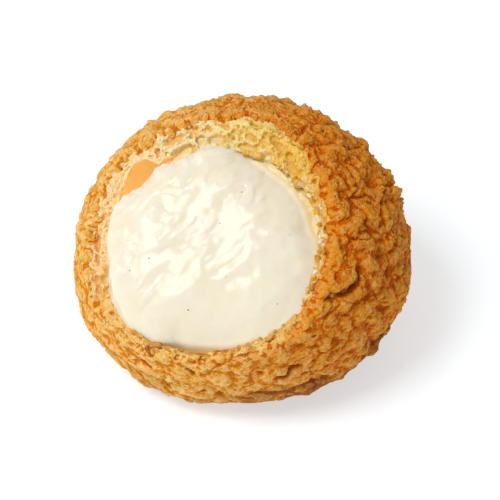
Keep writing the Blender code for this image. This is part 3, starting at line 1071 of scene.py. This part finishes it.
def grainGroup():
    # sugar grain and soft patches, for everything that is baked
    group = bpy.data.node_groups.new("bakedGrain", "ShaderNodeTree")
    for name in ("Grain Scale", "Patch Scale"):
        group.interface.new_socket(name, in_out="INPUT", socket_type="NodeSocketFloat")
    for name in ("Grain", "Patches", "Height"):
        group.interface.new_socket(name, in_out="OUTPUT", socket_type="NodeSocketFloat")
    given, result = group.nodes.new("NodeGroupInput"), group.nodes.new("NodeGroupOutput")
    grainScale, patchScale = given.outputs[0], given.outputs[1]
    grain = pattern(group, "Noise", Scale=grainScale, Detail=3.0, Roughness=0.65)
    cells = pattern(group, "Voronoi", Scale=grainScale, Randomness=1.0)
    patches = pattern(group, "Noise", Scale=patchScale, Detail=4.0, Roughness=0.6)
    domes = ramp(group, cells, 0.0, 0.75, 1.0, 0.0)
    plug(group, result, {
        "Grain": ramp(group, grain, 0.32, 0.68),
        "Patches": ramp(group, patches, 0.32, 0.68),
        "Height": sums(group, times(group, grain, 0.6), domes),
    })
    return group


def grainOf(tree, group, grainScale, patchScale):
    return add(
        tree, "ShaderNodeGroup", {"Grain Scale": grainScale, "Patch Scale": patchScale}, node_tree=group
    ).outputs


def newMaterial(name):
    made = bpy.data.materials.new(name)
    made.use_nodes = True
    tree = made.node_tree
    return made, tree, tree.nodes["Principled BSDF"]


black, white = (0.0, 0.0, 0.0, 1.0), (1.0, 1.0, 1.0, 1.0)

crustTones = {
    # crevice: the tone of the dips, painted shade and bounce light
    "crevice": (214, 120, 10),
    "body": (242, 172, 57),
    # pale: the tops, sugar with a painted sheen
    "pale": (249, 203, 124),
    "speck": (250, 208, 156),
    # tones for specks and tops on the upper right, browner there and darker with painted shade
    "bakedSpeck": (230, 168, 98),
    "bakedTop": (214, 142, 44),
    "yellow": (241, 168, 44),
    # the upper right side: browner, and darker with painted shade
    "baked": (236, 192, 70),
    "foot": (202, 130, 24),
    "footDark": (148, 78, 8),
    # dark tone for scorching and for painted shade in cracks, pits, the crease and low down
    "scorch": (124, 62, 12),
    "torn": (247, 192, 92),
}


def crustMaterial(name, group, scatter):
    look = {name: tone(*values) for name, values in crustTones.items()}
    made, tree, shader = newMaterial(name)
    grain = grainOf(tree, group, 1500.0, 190.0)
    speckled = {0: grain["Grain"], 1: 0.6, 2: -0.26}
    speckled = add(tree, "ShaderNodeMath", speckled, operation="MULTIPLY_ADD").outputs[0]
    height = sums(tree, relief(tree, 0.72, 0.36), speckled)
    specks = pattern(tree, "Noise", Scale=950.0, Detail=2.5)
    # by relief, here and below: dips take the darker tone and tops the lighter one, on lip, foot and crust: the
    # crust's mottling, with painted shade and bounce light in the dips and a painted sheen on the tops
    crumbly = mixColour(tree, ramp(tree, height, -0.5, 0.25), look["crevice"], look["torn"])
    foot = mixColour(tree, ramp(tree, height, -0.5, 0.3), look["footDark"], look["foot"])
    colour = layered(
        tree, look["crevice"],
        (ramp(tree, height, -0.6, 0.16), look["body"]),
        (ramp(tree, height, 0.05, 0.8), look["pale"]),
        (times(tree, grain["Patches"], 0.3), look["yellow"]),
        (times(tree, ramp(tree, specks, 0.46, 0.34), 0.35), look["crevice"]),
        (times(tree, read(tree, "lipMask"), 0.6), crumbly),
        (read(tree, "footMask"), foot),
    )
    # towards the upper right the crust turns browner and darker: deeper baking with painted shade on the side away
    # from the lamp
    bake = read(tree, "bakeMask")
    topShare = times(tree, ramp(tree, height, 0.05, 0.75), bake)
    speckShare = times(tree, ramp(tree, specks, 0.5, 0.64), ramp(tree, height, -0.3, 0.4))
    colour = layered(
        tree, mixColour(tree, bake, colour, look["baked"], "MULTIPLY"),
        (times(tree, topShare, 0.45), look["bakedTop"]),
        (times(tree, speckShare, 0.6), mixColour(tree, bake, look["speck"], look["bakedSpeck"])),
        # painted shade of cracks, pits, crease and bottom, with scorching
        (times(tree, read(tree, "scorchMask"), 0.7), look["scorch"]),
    )
    plug(tree, shader, {
        "Base Color": colour,
        "Roughness": ramp(tree, grain["Grain"], 0.0, 1.0, 0.85, 0.65),
        "Specular IOR Level": 0.12,
        "Subsurface Weight": scatter,
        "Subsurface Radius": (1.0, 0.5, 0.2),
        "Subsurface Scale": 0.0006,
    })
    bumped(tree, shader, 0.8, 0.00036, grain["Height"])
    return made


def crumbMaterial(name, group, scatter):
    # the gap's wall gets a bright orange tone and a glow: painted light that comes through the thin wall
    gap, cream = tone(248, 205, 128), tone(252, 234, 196)
    made, tree, shader = newMaterial(name)
    grain = grainOf(tree, group, 2000.0, 260.0)
    height = sums(tree, relief(tree, 0.45, 0.25), times(tree, grain["Grain"], 0.35))
    cell, walls = read(tree, "cellTone", "Color"), read(tree, "wallTone", "Color")
    inCell = times(tree, read(tree, "cellMask"), 0.75)
    gapMask, wetMask = read(tree, "gapMask"), read(tree, "wetMask")
    colour = layered(
        tree, walls,
        # cells take the deeper cell tone, and so do the low spots, there as painted shade
        (sums(tree, inCell, ramp(tree, height, 0.35, -0.7), "MAXIMUM"), cell),
        (
            times(tree, read(tree, "holeMask"), 0.7),
            mixColour(tree, read(tree, "brownMask"), tone(*crumb["hole"]), tone(*crumb["brownHole"])),
        ),
        (times(tree, grain["Patches"], 0.18), cell),
        (wetMask, cream),
        (gapMask, gap),
    )
    plug(tree, shader, {
        "Base Color": colour,
        "Roughness": ramp(tree, wetMask, 0.0, 1.0, 0.55, 0.22),
        "Specular IOR Level": 0.4,
        # painted glow: light that comes through the thin wall at the gap, given as emission
        "Emission Color": mixColour(tree, times(tree, gapMask, 0.84), black, gap),
        "Emission Strength": 1.0,
        "Subsurface Weight": scatter,
        "Subsurface Radius": (1.0, 0.65, 0.35),
        "Subsurface Scale": 0.0006,
    })
    bumped(tree, shader, 0.4, 0.0002, grain["Height"])
    return made


def custardMaterial():
    # a deeper cream tone, laid on as random clouds and as painted shade in the dips
    deep = tone(240, 229, 203)
    made, tree, shader = newMaterial("custardCream")
    cloud = pattern(tree, "Noise", Scale=110.0, Detail=3.0)
    # painted shade: the deeper tone in the custard's dips
    hollowShade = ramp(tree, read(tree, "wideRelief"), 0.4, -0.8)
    plug(tree, shader, {
        "Base Color": layered(
            tree, tone(242, 234, 215),
            (times(tree, ramp(tree, cloud, 0.4, 0.65), 0.5), deep),
            (times(tree, hollowShade, 0.55), deep),
            (times(tree, read(tree, "filmMask"), 0.8), tone(226, 197, 116)),
        ),
        # painted glow: light that would come through the cream where the mound meets the crumb, given as emission
        # to lift the shade there
        "Emission Color": mixColour(tree, read(tree, "contactMask"), black, tone(94, 78, 38)),
        "Emission Strength": 1.0,
        "Roughness": ramp(tree, cloud, 0.3, 0.7, 0.03, 0.06),
        "Specular IOR Level": 0.155,
        "Subsurface Weight": 0.6,
        "Subsurface Radius": (1.0, 0.8, 0.5),
        "Subsurface Scale": 0.0015,
    })
    bumped(tree, shader, 0.25, 0.0003, pattern(tree, "Noise", Scale=520.0, Detail=3.0, Roughness=0.55))
    return made


def seedMaterial():
    made, tree, shader = newMaterial("vanillaSeed")
    spots = pattern(tree, "Noise", Scale=4000.0)
    colour = mixColour(tree, spots, tone(70, 52, 36), tone(34, 24, 18))
    plug(tree, shader, {"Base Color": colour, "Roughness": 0.4})
    return made


# build

grainNodes = grainGroup()
crustLook, grainLook = crustMaterial("bakedCrust", grainNodes, 0.4), crustMaterial("bakedGrain", grainNodes, 0.0)
crumbLook, tornLook = crumbMaterial("chouxCrumb", grainNodes, 0.4), crumbMaterial("tornCrumb", grainNodes, 0.0)
custardLook, seedLook = custardMaterial(), seedMaterial()
print("materials made")

crustPiece = makeCrust()
crumbPiece = makeCrumb()
custardPiece = makeCustard()
seedPiece = makeSeeds(custardPiece)
grainPiece = makeGrains(crustPiece)
tornPiece = makeTornCrumbs(crumbPiece)

for piece, look, slotName in (
    (crustPiece, crustLook, "baked_crust"),
    (crumbPiece, crumbLook, "choux_crumb"),
    (custardPiece, custardLook, "custard"),
    (seedPiece, seedLook, "vanilla_seed"),
    (grainPiece, grainLook, "baked_crust"),
    (tornPiece, tornLook, "choux_crumb"),
):
    piece.data.materials.append(look)
    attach(piece, "root")
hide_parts("choux_shell")
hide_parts("custard")


# floor, lights and camera

stageSet = {
    "floorSize": 3.0,
    "worldLight": 0.425,
    "keyWatts": 4.45,
    "floorTone": (0.585, 0.635, 0.665),
    "floorGlow": 0.54,
    "keySize": 0.34,
    "keyFrom": (-0.36, -0.25, 0.738),
    "elevation": 43.0,
    "lens": 150.0,
    "distance": 0.4931,
    "aside": 0.00189,
    "above": 0.00024,
}


def makeStage():
    shape = bmesh.new()
    bmesh.ops.create_grid(shape, x_segments=1, y_segments=1, size=stageSet["floorSize"] / 2)
    floor = makeObject("floor", shape)
    made, tree, shader = newMaterial("paleFloor")
    plug(tree, shader, {
        "Base Color": (*stageSet["floorTone"], 1.0),
        "Roughness": 1.0,
        "Specular IOR Level": 0.0,
        "Emission Color": white,
        "Emission Strength": stageSet["floorGlow"],
    })
    floor.data.materials.append(made)
    floor.location.z = -0.0001

    world = bpy.data.worlds.new("studio")
    bpy.context.scene.world = world
    world.use_nodes = True
    tree = world.node_tree
    plug(tree, tree.nodes["Background"], {"Color": white, "Strength": stageSet["worldLight"]})

    lamp = bpy.data.lights.new("softbox", "AREA")
    lamp.shape = "SQUARE"
    lamp.size = stageSet["keySize"]
    lamp.energy = stageSet["keyWatts"]
    key = linked("softbox", lamp)
    key.location = stageSet["keyFrom"]
    key.rotation_euler = (Vector(middle) - key.location).to_track_quat("-Z", "Y").to_euler()

    tilt = math.radians(stageSet["elevation"])
    back = Vector((0.0, -math.cos(tilt), math.sin(tilt)))
    up = Vector((0.0, math.sin(tilt), math.cos(tilt)))
    eye = bpy.data.cameras.new("camera")
    eye.lens = stageSet["lens"]
    eye.sensor_width = 36.0
    camera = linked("camera", eye)
    camera.location = (
        Vector(middle) + back * stageSet["distance"] + Vector((stageSet["aside"], 0, 0)) + up * stageSet["above"]
    )
    camera.rotation_euler = (math.radians(90.0) - tilt, 0.0, 0.0)
    bpy.context.scene.camera = camera
    bpy.context.scene.view_settings.view_transform = "Standard"
    print("stage set")


makeStage()
